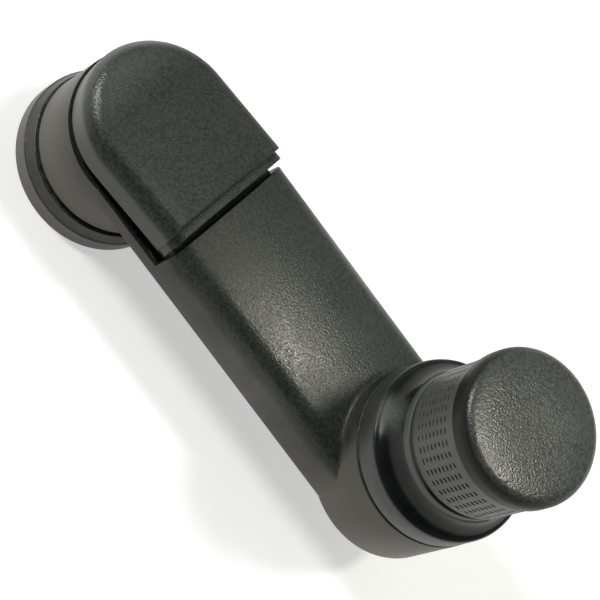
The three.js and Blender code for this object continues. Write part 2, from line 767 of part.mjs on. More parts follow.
function knobCore() {
  const bottom = collarTopZ - coreSkirtHeight;
  const flangeZ = gripZ - seatGap - coreFlangeHeight;
  const hubBottom = bushZ + bushFlangeThickness + seatGap;
  const hubTop = bushTopZ - seatGap;
  const webZ = flangeZ - coreWebThickness / 2;
  const flangeRadius = gripRadius - coreFlangeInset;
  const shell = revolve([
    [coreBore, bottom], [coreRadius, bottom], [coreRadius, flangeZ],
    [flangeRadius, flangeZ], [flangeRadius, flangeZ + coreFlangeHeight],
    [coreRadius, flangeZ + coreFlangeHeight], [coreRadius, knobCoreTopZ], [coreBore, knobCoreTopZ],
  ]);
  const hub = tube(coreHubRadius, coreHubBore, hubBottom, hubTop, smallSegments);
  const web = tube(coreBore + coreWall / 2, coreHubBore + coreHubWall / 2, webZ, webZ + coreWebThickness);
  const ribs = fins(coreRibs, coreHubRadius - coreHubWall / 2, coreBore + coreWall / 2, coreRib,
    webZ + coreWebThickness / 2, knobCoreTopZ - coreRibDrop);
  return join(shell, hub, web, ribs);
}

// Grip sleeve with columns of short notches sunk into its wall, one column on every second facet
function gripSleeve() {
  const [outer, inner] = [gripRadius, gripRadius - gripWall];
  const facets = 2 * slitColumns;
  const sleeve = revolve([
    [inner, gripZ], [outer - gripEdgeWidth, gripZ], [outer, gripZ + gripEdgeWidth],
    [outer, gripTopZ], [inner, gripTopZ],
  ], facets);
  const slits = [];
  const facetMiddle = outer * Math.cos(Math.PI / facets);
  const side = slitWidth / Math.SQRT2;
  for (let column = 0; column < slitColumns; column += 1) {
    const angle = (column + 1 / 4) * 2 * Math.PI / slitColumns;
    for (let row = 0; row < slitRows; row += 1) {
      const slit = new THREE.BoxGeometry(side, slitLength, side);
      slit.rotateY(Math.PI / 4);
      slit.scale(2 * slitDepth / slitWidth, 1, 1);
      slit.translate(facetMiddle + slitProudHeight, 0, gripZ + slitStartHeight + row * slitPitch);
      slit.rotateZ(angle);
      slits.push(slit);
    }
  }
  return sleeve.subtract(solid(mergeGeometries(slits)));
}

function knobCap() {
  const spigotRadius = coreBore - seatGap;
  const top = capTopZ - capCrown;
  const ceiling = top - capWall;
  return revolve([
    [spigotRadius - capSpigotWall, knobCoreTopZ - capSpigotReach],
    [spigotRadius, knobCoreTopZ - capSpigotReach], [spigotRadius, ceiling],
    [capRadius - capSkirtWall, ceiling], [capRadius - capSkirtWall, capZ], [capRadius, capZ],
    ...arc(capRadius - capFillet, top - capFillet, capFillet, 0, Math.PI / 2),
    [(capRadius - capFillet) / 2, top + capCrown * 3 / 4], [0, capTopZ],
    [0, ceiling], [spigotRadius - capSpigotWall, ceiling],
  ]);
}

const handle = new THREE.Group();
handle.add(
  piece('crank_arm', crankArm(), grainedBlack),
  piece('base_ring', baseRing(), grainedBlack),
  piece('friction_washer', frictionWasher(), innerBlack),
  piece('spline_insert', splineInsert(), plainSteel),
  piece('hub_screw', hubScrew(), zincPlated),
  piece('screw_washer',
    flatWasher(washerRadius, screwRadius + seatGap, washerZ, washerThickness), zincPlated),
  piece('lock_washer', lockWasher(), plainSteel),
);

// The cover tips up about the foot of its round end
const coverHinge = new THREE.Group();
coverHinge.position.set(-coverHalfWidth, 0, coverSeatZ);
coverHinge.rotation.y = -THREE.MathUtils.degToRad(coverAjar);
const cover = piece('hub_cover', hubCover(), grainedBlack);
cover.position.x = coverHalfWidth;
coverHinge.add(cover);
handle.add(coverHinge);

// Everything on the knob axis
const knobAxis = new THREE.Group();
knobAxis.position.x = axisDistance;
knobAxis.add(
  piece('knob_collar', knobCollar(), glossBlack),
  piece('knob_stud', knobStud(), plainSteel),
  piece('stud_foot_washer',
    flatWasher(footWasherRadius, studTubeBore, footWasherZ, footWasherThickness), zincPlated),
  piece('wave_washer', waveWasher(), plainSteel),
  piece('knob_bush', knobBush(), naturalNylon),
  piece('knob_core', knobCore(), innerBlack),
  piece('grip_sleeve', gripSleeve(), grainedBlack),
  piece('stud_top_washer',
    flatWasher(topWasherRadius, bushBore, topWasherZ, topWasherThickness), zincPlated),
  piece('retaining_clip', retainingClip(), plainSteel),
  piece('knob_cap', knobCap(), grainedBlack),
);
handle.add(knobAxis);

export default handle;
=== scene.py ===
import math

import bmesh
import bpy
from mathutils import Matrix, Vector


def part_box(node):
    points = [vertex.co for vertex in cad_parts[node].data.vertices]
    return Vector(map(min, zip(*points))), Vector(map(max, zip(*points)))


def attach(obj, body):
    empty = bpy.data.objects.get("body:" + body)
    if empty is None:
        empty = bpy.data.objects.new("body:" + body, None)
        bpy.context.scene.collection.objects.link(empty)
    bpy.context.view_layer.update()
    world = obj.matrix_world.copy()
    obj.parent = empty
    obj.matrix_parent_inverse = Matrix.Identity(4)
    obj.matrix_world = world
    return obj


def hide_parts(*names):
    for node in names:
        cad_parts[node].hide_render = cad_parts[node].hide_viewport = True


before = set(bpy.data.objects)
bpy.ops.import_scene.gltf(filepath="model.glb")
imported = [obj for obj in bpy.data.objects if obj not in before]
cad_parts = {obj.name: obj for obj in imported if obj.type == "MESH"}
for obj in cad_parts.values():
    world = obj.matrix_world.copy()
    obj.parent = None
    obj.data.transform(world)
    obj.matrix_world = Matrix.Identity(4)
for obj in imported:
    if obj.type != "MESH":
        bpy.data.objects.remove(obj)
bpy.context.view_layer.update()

# Shapes are worked out in millimetres, like the frame's boxes below, and stored in metres
MM = 0.001
FULL_TURN = 2 * math.pi


def box_mm(node):
    """A node's lowest and highest corner in the frame, in millimetres."""
    low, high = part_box(node)
    return low / MM, high / MM


_, ring_high = box_mm("base_ring")
arm_low, arm_high = box_mm("crank_arm")
collar_low, collar_high = box_mm("knob_collar")
sleeve_low, sleeve_high = box_mm("grip_sleeve")
cap_low, cap_high = box_mm("knob_cap")
insert_low, insert_high = box_mm("spline_insert")

# Sizes read from the frame
KNOB_X = (cap_low.x + cap_high.x) / 2
RING_RADIUS = ring_high.x
RING_HEIGHT = ring_high.z
PEDESTAL_RADIUS = arm_high.x - KNOB_X
PEDESTAL_TOP = arm_high.z
SPIGOT_BOTTOM = arm_low.z
COLLAR_RADIUS = collar_high.x - KNOB_X
COLLAR_BOTTOM = collar_low.z
COLLAR_TOP = collar_high.z
SLEEVE_RADIUS = sleeve_high.x - KNOB_X
SLEEVE_BOTTOM = sleeve_low.z
SLEEVE_TOP = sleeve_high.z
CAP_RADIUS = cap_high.x - KNOB_X
CAP_TOP = cap_high.z
INSERT_TOP = insert_high.z

# Clearance between pieces
GAP = 0.3

# Arm, whose sizes are half widths, walls and levels above the door trim
ARM_BOTTOM = 20.4
ARM_TOP = 33.4
ARM_HALF_TOP = 17.8
ARM_HALF_BOTTOM = 18.2
ARM_FILLET = 5.7
ARM_CROWN = 1.1
ARM_WALL = 2.4
ARM_TOP_WALL = 2.8
ARM_RIB = 1.6
ARM_CELL_ROWS = 3
ARM_CELL_COLUMNS = 4
ARM_EDGE = 0.35
STEP_X = 22.74
SHELF = 23.6

# Hub boss, with the spigot that holds the base ring
HUB_BOTTOM = 8.4
HUB_RADIUS = 18.3
HUB_WALL = 2.1
HUB_EDGE = 0.6
HUB_RIB = 1.5
HUB_RIBS = 6
HUB_ROOF = 20.5
SPIGOT_RADIUS = 13.8
SPIGOT_WALL = 1.9
BEAD_WIDTH = 1.2
BEAD_HEIGHT = 1.1
TUBE_RADIUS = 9.2
INSERT_BORE = 7.5

# Head core, with the well over the screw
HEAD_TOP = 29.2
WELL_RADIUS = 7.3
WELL_WALL = 1.8
HEAD_POCKET = 3.9
HEAD_HALF = 15.56
HEAD_FILLET = 0.8
HEAD_FLOOR = 1

# Pedestal of the knob
PEDESTAL_WALL = 2.5
PEDESTAL_TOP_WALL = 3.7
PEDESTAL_EDGE = 0.5
PEDESTAL_BLEND = 1.6
PEDESTAL_RIBS = 8
STUD_TUBE = 7.4
STUD_BORE = 4.3
FOOT_WASHER_ROOM = 1.3

# Hub cover, drawn shut and then tipped about the foot of its round end
COVER_HALF = 17.76
COVER_SEAT = SHELF + GAP
COVER_END = 20.24
COVER_HEIGHT = 9.5
COVER_FILLET = 4
COVER_END_ROUND = 1
COVER_CROWN = 0.7
COVER_WALL = 1.8
COVER_OPENING = 6.2
COVER_AJAR = math.radians(6)
LIP_REACH = 1.9
LIP_DROP = 1.9
LIP_INSET = 0.3
LIP_ROUND = 0.35
HOOK_WIDTH = 4
HOOK_THICKNESS = 1.2
HOOK_DROP = 3.6
HOOK_BEAD = 0.4
HOOK_SPACING = 17
HOOK_CLEARANCE = 0.6

# Base ring
RING_WALL_HEIGHT = 4.4
RING_SHOULDER = 0.6
RING_SHOULDER_TURN = 60
RING_TOP_INSET = 1
RING_LIP = 0.4
RING_WALL = 1.9
RING_TOP_WALL = 1.8
RING_TUBE_BORE = 14.2
RING_TUBE_WALL = 1.5
RING_TUBE_LIFT = 2.2
RING_RIBS = 12
RING_RIB = 1.2

# Knob
COLLAR_BAND = 5.4
COLLAR_BAND_ROUND = 0.9
COLLAR_TOP_RADIUS = 15.7
COLLAR_LIP = 1.8
COLLAR_LIP_ROUND = 0.35
COLLAR_WALL = 1.8
COLLAR_FLOOR = 2
COLLAR_EDGE = 0.4
SLEEVE_WALL = 2.6
SLEEVE_EDGE = 0.5
SLIT_COLUMNS = 42
SLIT_ROWS = 8
SLIT_PITCH = 1.36
SLIT_LENGTH = 1.4
SLIT_WIDTH = 0.55
SLIT_DEPTH = 0.32
SLIT_FLARE = 0.4
SLIT_START = 2.4
CAP_BOTTOM = SLEEVE_TOP + GAP
CAP_FILLET = 2.7
CAP_CROWN = 0.5
CAP_CROWN_POWER = 4
CAP_EDGE = 0.3
CAP_SKIRT_WALL = 2.4
CAP_TOP_WALL = 2.2
CAP_SPIGOT_RADIUS = 11
CAP_SPIGOT_WALL = 1.4

# Surface of the moulded plastic, in metres
GRAIN_SIZE = 0.47 * MM
GRAIN_HEIGHT = 0.042 * MM
PATCH_SIZE = 9 * MM
SPECKLE_SIZE = 0.7 * MM
SCUFF_SIZE = 2.5 * MM
# Levels over which walls turn from the pale low colour, a painted reflection of the floor, to their plain
# side colour
PALE_BELOW = 10 * MM
PLAIN_ABOVE = 30 * MM
# Stretch along the arm over which its walls are painted paler towards the far end, a painted reflection of
# the floor
PAINTED_END_REFLECTION_FROM = 71 * MM
PAINTED_END_REFLECTION_TO = 84 * MM
# Levels over which the ring's outer wall turns from a pale painted reflection of the floor to a dark band
# of painted shade
RING_PALE_TO = 4.2 * MM
RING_PLAIN_FROM = 5 * MM
ARM_SHINE_AT = 53 * MM
ARM_SHINE_REACH = 30 * MM
COVER_SHINE_AT = -18 * MM
COVER_SHINE_REACH = 13 * MM
# Width of the edges of the collar's band and lip, which are worn by rubbing and also painted pale as a
# reflection of the floor
RUBBED_AND_REFLECTION_EDGE = 0.9 * MM
# Place and reach of the collar's rough scuffed patch, which is also painted pale as a reflection of the
# arm's highlight
SCUFF_AND_REFLECTION_PLACE = Vector((74, -8, 47.2)) * MM
SCUFF_AND_REFLECTION_REACH = 6.5 * MM
COLLAR_FLOW_SIZE = 5 * MM
COLLAR_FINE_SIZE = 0.4 * MM
COLLAR_FINE_HEIGHT = 0.015 * MM

# Surface of the hidden pieces, in metres
FLOW_SIZE = 6 * MM
FINE_SIZE = 0.35 * MM
FINE_HEIGHT = 0.01 * MM
TURNING_PITCH = 1.2 * MM
PLATING_SIZE = 0.5 * MM
STAIN_SIZE = 3 * MM

# Mixture of the plastic's tones and grain, as shares and as the stretches of noise that show
GRAIN_NOISE = 1.6
COVER_GRAIN = 1.05
CAP_GRAIN = 0.85
GRAIN_FACING = (0.1, 0.7)
WALL_GRAIN = 0.3
SPECKLE_RANGE = (0.38, 0.62)
SPECKLE_DEPTH = 0.4
PATCH_RANGE = (0.35, 0.7)
PATCH_SHARE = 0.3
PATCH_TONE = 1.35
SIDE_PATCH_RANGE = (0.35, 0.65)
SIDE_PATCH_SHARE = 0.2
SIDE_PATCH_TONE = 1.2
SCUFF_RANGE = (0.64, 0.78)
SCUFF_SHARE = 0.3
SCUFF_TONE = 2
SCUFF_DISTORTION = 1.2
# Share of the painted floor reflection on the arm's walls at its far end
ARM_PAINTED_END_REFLECTION = 0.65

# How far the surface has to face up to count as a top. Walls and rounded edges take the side tone instead,
# which is painted shade on some pieces and a painted reflection of the floor on others.
TOP_FROM = (0.1, 0.5)
COVER_TOP_FROM = (0.02, 0.35)
CAP_TOP_FROM = (0.6, 0.9)

# Tones and relief of collar and hidden pieces
FLOW_RANGE = (0.3, 0.7)
FLOW_DISTORTION = 0.8
FLARE_TONES = (0.8, 1.3)
# Tones of the collar's band and lip, partly worn plastic and partly a painted reflection of the floor
BAND_TONES = (0.85, 1.15)
LIP_TONE = 1.9
# Paleness and noise of the painted reflection of the arm's highlight in the collar's scuffed patch
COLLAR_REFLECTION_TONE = 2.4
COLLAR_SCUFF_AND_REFLECTION_RANGE = (0.3, 0.65)
COLLAR_SCUFF_AND_REFLECTION_LEAST = 0.5
COLLAR_BUMP = 0.6
PLASTIC_BUMP = 0.4
METAL_BUMP = 0.3
TURNING_DISTORTION = 0.6
STAIN_RANGE = (0.4, 0.75)
STAIN_SHARE = 0.5
STAIN_TONE = 0.6

# Gloss of the plastic
SPECULAR = 0.42
DULL_SPECULAR = 0.22
COVER_SPECULAR = 0.9
CAP_SIDE_SPECULAR = 0.18
TOP_ROUGHNESS = (0.25, 0.33)
SIDE_ROUGHNESS = 0.42
DULL_ROUGHNESS = 0.45
SCUFF_ROUGHNESS = 0.6
FLARE_ROUGHNESS = 0.2
FLOW_ROUGHNESS = (-0.04, 0.06)
STAIN_ROUGHNESS = 0.15
GLOSSY_FROM = (0.3, 0.8)

# Fineness
ROUND_SEGMENTS = 192
ARC_STEPS = 14
EDGE_STEPS = 4
SLIT_END_STEPS = 5
SHARP_ANGLE = math.radians(28)
BAR_STEP = 4
FOOT_STEPS = 48
TOUCH = 0.01
LEAN_TRIES = 8

# How far a cutting form reaches past the surface that it opens
OVERRUN = 1

# Camera, fitted to the photograph
CAMERA_AZIMUTH = math.radians(-15.797)
CAMERA_ELEVATION = math.radians(56.845)
CAMERA_ROLL = math.radians(66.616)
CAMERA_DISTANCE = 0.52
CAMERA_TARGET = Vector((0.045, 0, 0.015))
CAMERA_SHIFT_RIGHT = 0.009898
CAMERA_SHIFT_UP = 0.002209
PICTURE_PIXELS = 600
FOCAL_PIXELS = 2401.2
SENSOR_MM = 36
CLIP_NEAR = 0.01
CLIP_FAR = 20

# Light
ROOM_BRIGHT_SIDE = (0.05, 0.85, 0.53)
ROOM_FRONT = (0.045, 0.048, 0.045, 1)
ROOM_BACK = (0.33, 0.35, 0.325, 1)
ROOM_FADE = (0.1, 0.9)
OVERHEAD_DIRECTION = (0.15, 0.5, 0.85)
OVERHEAD_STRENGTH = 0.5
OVERHEAD_SPREAD = math.radians(80)
LAMP_DIRECTION = (0.18, 0.27, 0.945)
LAMP_STRENGTH = 1.35
LAMP_SPREAD = math.radians(8)
LAMP_COLOUR = (1, 0.99, 0.85)
RIM_DIRECTION = (-0.72, -0.1, 0.69)
RIM_STRENGTH = 1.9
RIM_SPREAD = math.radians(12)
FLOOR_COLOUR = (0.6, 0.6, 0.59, 1)
FLOOR_GLOW = 0.5
FLOOR_ROUGHNESS = 0.9

# Floor, flat at first and then rising to its rim
FLOOR_RADIUS = 2000
FLOOR_RIM_RADIUS = 3500
FLOOR_RIM_HEIGHT = 900
FLOOR_STEPS = 12
FLOOR_SEGMENTS = 96


def arc(centre_x, centre_z, radius, start, end, steps=ARC_STEPS):
    """Points of a circle's arc, in degrees, as (across, height)."""
    points = []
    for i in range(steps + 1):
        angle = math.radians(start + (end - start) * i / steps)
        points.append((centre_x + radius * math.cos(angle), centre_z + radius * math.sin(angle)))
    return points


def lower_edge(radius, bottom, rounding):
    """The rounded edge where a base meets an upright side."""
    return arc(radius - rounding, bottom + rounding, rounding, 270, 360, EDGE_STEPS)


def upper_edge(radius, top, rounding):
    """The rounded edge where an upright side meets a top."""
    return arc(radius - rounding, top - rounding, rounding, 0, 90, EDGE_STEPS)


def bridge(bm, here, ahead):
    """Faces between two closed loops of vertices, or a loop and a single vertex."""
    count = max(len(here), len(ahead))
    for k in range(count):
        corners = [here[k % len(here)], here[(k + 1) % len(here)],
                   ahead[(k + 1) % len(ahead)], ahead[k % len(ahead)]]
        unique = list(dict.fromkeys(corners))
        if len(unique) > 2:
            bm.faces.new(unique)


def stack(bm, loops):
    """Faces through a stack of loops, with both ends closed."""
    for here, ahead in zip(loops, loops[1:]):
        bridge(bm, here, ahead)
    bm.faces.new(loops[0])
    bm.faces.new(loops[-1])


def solid_from(bm):
    """A temporary object, in millimetres, from a closed bmesh."""
    bmesh.ops.recalc_face_normals(bm, faces=bm.faces)
    mesh = bpy.data.meshes.new("solid")
    bm.to_mesh(mesh)
    bm.free()
    made = bpy.data.objects.new("solid", mesh)
    bpy.context.scene.collection.objects.link(made)
    return made


def turned_loops(bm, profile, x, segments):
    """One loop of vertices round the Z axis at x for each (radius, height), or one vertex on the axis."""
    loops = []
    for radius, height in profile:
        count = segments if radius > 0 else 1
        loops.append([
            bm.verts.new((x + radius * math.cos(FULL_TURN * k / count),
                          radius * math.sin(FULL_TURN * k / count), height))
            for k in range(count)
        ])
    return loops


def lathe(profile, x=0, segments=ROUND_SEGMENTS):
    """A closed outline of (radius, height) points turned round the Z axis at x."""
    bm = bmesh.new()
    loops = turned_loops(bm, profile, x, segments)
    for here, ahead in zip(loops, loops[1:] + loops[:1]):
        if len(here) > 1 or len(ahead) > 1:
            bridge(bm, here, ahead)
    return solid_from(bm)


def disc(radius, bottom, top, x=0):
    return lathe([(0, bottom), (radius, bottom), (radius, top), (0, top)], x)


def tube(outer, inner, bottom, top, x=0):
    return lathe([(inner, bottom), (outer, bottom), (outer, top), (inner, top)], x)


def skin(loops):
    """A closed solid through a stack of loops with equal numbers of points."""
    bm = bmesh.new()
    stack(bm, [[bm.verts.new(point) for point in loop] for loop in loops])
    return solid_from(bm)


def block(x0, x1, y0, y1, z0, z1):
    outline = [(x0, y0), (x1, y0), (x1, y1), (x0, y1)]
    return skin([[(x, y, z) for x, y in outline] for z in (z0, z1)])


def combine(body, operation, tools):
    """Joins or cuts the body with each tool in turn and removes the tools."""
    for tool in tools:
        modifier = body.modifiers.new("combine", "BOOLEAN")
        modifier.operation = operation
        modifier.solver = "MANIFOLD"
        modifier.object = tool
    graph = bpy.context.evaluated_depsgraph_get()
    result = bpy.data.meshes.new_from_object(body.evaluated_get(graph))
    body.modifiers.clear()
    body.data = result
    for tool in tools:
        bpy.data.objects.remove(tool)
    return body


def join(body, *tools):
    return combine(body, "UNION", tools)


def cut(body, *tools):
    return combine(body, "DIFFERENCE", tools)


def spokes(count, inner, outer, width, bottom, top, x=0):
    """Flat ribs round an axis, as one solid of separate blocks."""
    bm = bmesh.new()
    for i in range(count):
        turn = Matrix.Rotation((i + 0.5) * FULL_TURN / count, 4, "Z")
        corners = [(inner, -width / 2), (outer, -width / 2), (outer, width / 2), (inner, width / 2)]
        place = Matrix.Translation((x, 0, 0)) @ turn
        stack(bm, [[bm.verts.new(place @ Vector((u, v, z))) for u, v in corners] for z in (bottom, top)])
    return solid_from(bm)


def ribbed_hollow(count, rib, inner, outer, bottom, top, x=0):
    """The pockets left between ribs in a ring-shaped hollow."""
    ribs = spokes(count, inner - OVERRUN, outer + OVERRUN, rib, bottom - OVERRUN, top + OVERRUN, x)
    return cut(tube(outer, inner, bottom, top, x), ribs)


def round_edges(body, chosen, radius, steps=EDGE_STEPS):
    """Rounds the edges whose two ends satisfy a test."""
    bm = bmesh.new()
    bm.from_mesh(body.data)
    edges = [e for e in bm.edges if all(chosen(v.co) for v in e.verts) and len(e.link_faces) == 2
             and e.calc_face_angle(0) > SHARP_ANGLE]
    bmesh.ops.bevel(bm, geom=edges, offset=radius, segments=steps, profile=0.5, affect="EDGES",
                    clamp_overlap=True)
    bm.to_mesh(body.data)
    bm.free()
    return body


def finish_piece(body, name, rides_on, slot, material, *replaced):
    """Names a solid, scales it to metres, shades it and ties it to the frame."""
    mesh = body.data
    mesh.transform(Matrix.Scale(MM, 4))
    mesh.name = name
    body.name = name
    mesh.polygons.foreach_set("use_smooth", [True] * len(mesh.polygons))
    mesh.set_sharp_from_angle(angle=SHARP_ANGLE)
    mesh.materials.clear()
    mesh.materials.append(material)
    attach(body, rides_on)
    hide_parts(*replaced)
    return body


def crowned_edge(half, top, fillet, crown, power=2):
    """From an upright side over a rounded corner and a crowned top, up to the middle."""
    flat = half - fillet
    lean = 0
    for _ in range(LEAN_TRIES):
        drop = fillet * (1 - math.cos(lean))
        width = flat + fillet * math.sin(lean)
        lean = math.atan2(power * (crown + drop), width)
    points = arc(flat, top - fillet, fillet, 0, 90 - math.degrees(lean))
    steps = ARC_STEPS if crown > 0 else 0
    for i in range(1, steps):
        share = 1 - i / steps
        points.append((width * share, top + crown - (crown + drop) * share ** power))
    return points


def crowned_section(bottom_half, top_half, bottom, top, fillet, crown):
    """Section in Y and Z with rounded upper corners and a crowned top."""
    side = crowned_edge(top_half, top, fillet, crown)
    other_side = [(-across, height) for across, height in reversed(side)]
    return [(-bottom_half, bottom), (bottom_half, bottom), *side, (0, top + crown), *other_side]


def bar(section, start, end):
    """A section in Y and Z run along X in short steps, so that its shading stays even."""
    steps = max(1, round((end - start) / BAR_STEP))
    stations = [start + (end - start) * i / steps for i in range(steps + 1)]
    return skin([[(x, y, z) for y, z in section] for x in stations])


def head_outline(half_width, end_x):
    """Plan with one round end about the spindle axis and one straight end."""
    points = [(end_x, -half_width), (end_x, half_width)]
    steps = ROUND_SEGMENTS // 2
    for i in range(steps + 1):
        angle = math.pi / 2 + math.pi * i / steps
        points.append((half_width * math.cos(angle), half_width * math.sin(angle)))
    return points


def head_form(half_width, end_x, bottom, top, fillet, end_round, crown):
    """A head-shaped block with a rounded top edge, a crowned top and a crisper straight end."""
    loops = [(head_outline(half_width, end_x), bottom)]
    shoulder = top - crown
    for across, height in crowned_edge(half_width, shoulder, fillet, crown):
        rise = min(end_round, max(0, height - (shoulder - end_round)))
        end_inset = end_round - math.sqrt(end_round ** 2 - rise ** 2)
        loops.append((head_outline(across, end_x - end_inset), height))
    return skin([[(x, y, height) for x, y in outline] for outline, height in loops])


def arm_pockets():
    """The ribbed hollow under the arm, between the step and the pedestal."""
    start = STEP_X + ARM_WALL
    end = KNOB_X - PEDESTAL_RADIUS
    low = ARM_BOTTOM - 2 * OVERRUN
    high = ARM_TOP + 2 * OVERRUN
    wide = 2 * ARM_HALF_TOP
    section = crowned_section(ARM_HALF_BOTTOM - ARM_WALL, ARM_HALF_TOP - ARM_WALL, ARM_BOTTOM - OVERRUN,
                              ARM_TOP - ARM_TOP_WALL, ARM_FILLET - ARM_WALL, ARM_CROWN)
    ribs = []
    for i in range(1, ARM_CELL_ROWS):
        y = (ARM_HALF_TOP - ARM_WALL) * (2 * i / ARM_CELL_ROWS - 1)
        ribs.append(block(0, KNOB_X, y - ARM_RIB / 2, y + ARM_RIB / 2, low, high))
    for i in range(1, ARM_CELL_COLUMNS + 1):
        x = start + (end - start) * i / ARM_CELL_COLUMNS
        ribs.append(block(x - ARM_RIB / 2, x + ARM_RIB / 2, -wide, wide, low, high))
    return cut(bar(section, start, KNOB_X), disc(PEDESTAL_RADIUS, low, high, KNOB_X), *ribs)


def arm_height(across):
    """Height of the arm's upper surface at a distance from its middle line."""
    side = crowned_edge(ARM_HALF_TOP, ARM_TOP, ARM_FILLET, ARM_CROWN) + [(0, ARM_TOP + ARM_CROWN)]
    for (wide, low), (narrow, high) in zip(side, side[1:]):
        if narrow <= across <= wide:
            return low + (high - low) * (wide - across) / (wide - narrow)
    return side[0][1]


def pedestal_foot():
    """The concave blend where the arm's crowned top and rounded sides run into the pedestal."""
    inner = PEDESTAL_RADIUS - PEDESTAL_WALL / 2
    low = ARM_BOTTOM + ARM_RIB
    limit = math.asin(ARM_HALF_TOP / PEDESTAL_RADIUS)
    loops = []
    for i in range(1, FOOT_STEPS):
        share = 2 * i / FOOT_STEPS - 1
        turn = share * limit
        blend = PEDESTAL_BLEND * (1 - share ** 4)
        outer = PEDESTAL_RADIUS + blend
        outer_height = arm_height(abs(outer * math.sin(turn)))
        corner_height = arm_height(abs(PEDESTAL_RADIUS * math.sin(turn)))
        profile = [(inner, low), (outer, low)]
        for k in range(ARC_STEPS + 1):
            t = k / ARC_STEPS
            first, middle, last = (1 - t) ** 2, 2 * t * (1 - t), t ** 2
            radius = PEDESTAL_RADIUS + blend * first
            height = first * outer_height + middle * corner_height + last * (corner_height + blend)
            profile.append((radius, height))
        profile.append((inner, corner_height + blend))
        loops.append([(KNOB_X - r * math.cos(turn), r * math.sin(turn), z) for r, z in profile])
    return skin(loops)


def hub_boss():
    """Hub boss with its snap spigot and ribbed hollows."""
    bead = SPIGOT_RADIUS + BEAD_WIDTH
    bead_top = SPIGOT_BOTTOM + BEAD_HEIGHT
    outside = lathe([
        (0, SPIGOT_BOTTOM), (bead - BEAD_WIDTH / 2, SPIGOT_BOTTOM), (bead, bead_top - BEAD_HEIGHT / 2),
        (bead, bead_top), (SPIGOT_RADIUS, bead_top), (SPIGOT_RADIUS, HUB_BOTTOM),
        *lower_edge(HUB_RADIUS, HUB_BOTTOM, HUB_EDGE), (HUB_RADIUS, SHELF), (0, SHELF),
    ])
    skirt = ribbed_hollow(HUB_RIBS, HUB_RIB, SPIGOT_RADIUS, HUB_RADIUS - HUB_WALL,
                          HUB_BOTTOM - OVERRUN, HUB_ROOF)
    spigot = ribbed_hollow(HUB_RIBS, HUB_RIB, TUBE_RADIUS, SPIGOT_RADIUS - SPIGOT_WALL,
                           SPIGOT_BOTTOM - OVERRUN, HUB_ROOF)
    mouth = disc(TUBE_RADIUS + OVERRUN, SPIGOT_BOTTOM - OVERRUN, insert_low.z - GAP)
    return cut(outside, skirt, spigot, mouth)


def head_core():
    """The raised body that the hub cover fits over."""
    form = head_form(HEAD_HALF, STEP_X + HEAD_FILLET, SHELF - OVERRUN, HEAD_TOP, HEAD_FILLET,
                     HEAD_FILLET / 2, 0)
    inner = WELL_RADIUS + WELL_WALL
    pockets = ribbed_hollow(HUB_RIBS, HUB_RIB, inner, inner + HEAD_POCKET, SHELF + HEAD_FLOOR,
                            HEAD_TOP + OVERRUN)
    return cut(form, pockets)


def hook_slots():
    """The slots in the head for the cover's hooks."""
    inner = COVER_END - COVER_WALL - HOOK_CLEARANCE
    outer = inner + HOOK_THICKNESS + HOOK_BEAD + 2 * HOOK_CLEARANCE
    half = HOOK_WIDTH / 2 + HOOK_CLEARANCE
    return [
        block(inner, outer, side * HOOK_SPACING / 2 - half, side * HOOK_SPACING / 2 + half,
              SHELF + HEAD_FLOOR, HEAD_TOP + OVERRUN)
        for side in (-1, 1)
    ]


def pedestal():
    """The round foot of the knob."""
    return lathe([
        (0, ARM_BOTTOM), *lower_edge(PEDESTAL_RADIUS, ARM_BOTTOM, ARM_EDGE),
        *upper_edge(PEDESTAL_RADIUS, PEDESTAL_TOP, PEDESTAL_EDGE), (0, PEDESTAL_TOP),
    ], KNOB_X)


def pedestal_hollows():
    """The ribbed hollow under the pedestal, the room for the stud's riveted foot and the stud's bore."""
    foot_low, _ = box_mm("stud_foot_washer")
    return [
        ribbed_hollow(PEDESTAL_RIBS, ARM_RIB, STUD_TUBE, PEDESTAL_RADIUS - PEDESTAL_WALL,
                      ARM_BOTTOM - OVERRUN, PEDESTAL_TOP - PEDESTAL_TOP_WALL, KNOB_X),
        disc(STUD_TUBE + OVERRUN, ARM_BOTTOM - OVERRUN, foot_low.z + FOOT_WASHER_ROOM, KNOB_X),
        disc(STUD_BORE, ARM_BOTTOM - OVERRUN, PEDESTAL_TOP + OVERRUN, KNOB_X),
    ]


def crank_arm():
    """The one-piece moulding: head, hub boss, arm and knob pedestal."""
    section = crowned_section(ARM_HALF_BOTTOM, ARM_HALF_TOP, ARM_BOTTOM, ARM_TOP, ARM_FILLET, ARM_CROWN)
    wide = 2 * HUB_RADIUS
    body = cut(bar(section, 0, KNOB_X), block(-wide, STEP_X, -wide, wide, SHELF, 2 * ARM_TOP))
    round_edges(body, lambda place: abs(place.x - STEP_X) < TOUCH and place.z > SHELF + TOUCH, ARM_EDGE)
    join(body, pedestal_foot(), pedestal(), hub_boss(), head_core())
    well = disc(WELL_RADIUS, INSERT_TOP, HEAD_TOP + OVERRUN)
    seat = disc(INSERT_BORE, -OVERRUN, INSERT_TOP + GAP)
    return cut(body, arm_pockets(), *pedestal_hollows(), well, seat, *hook_slots())


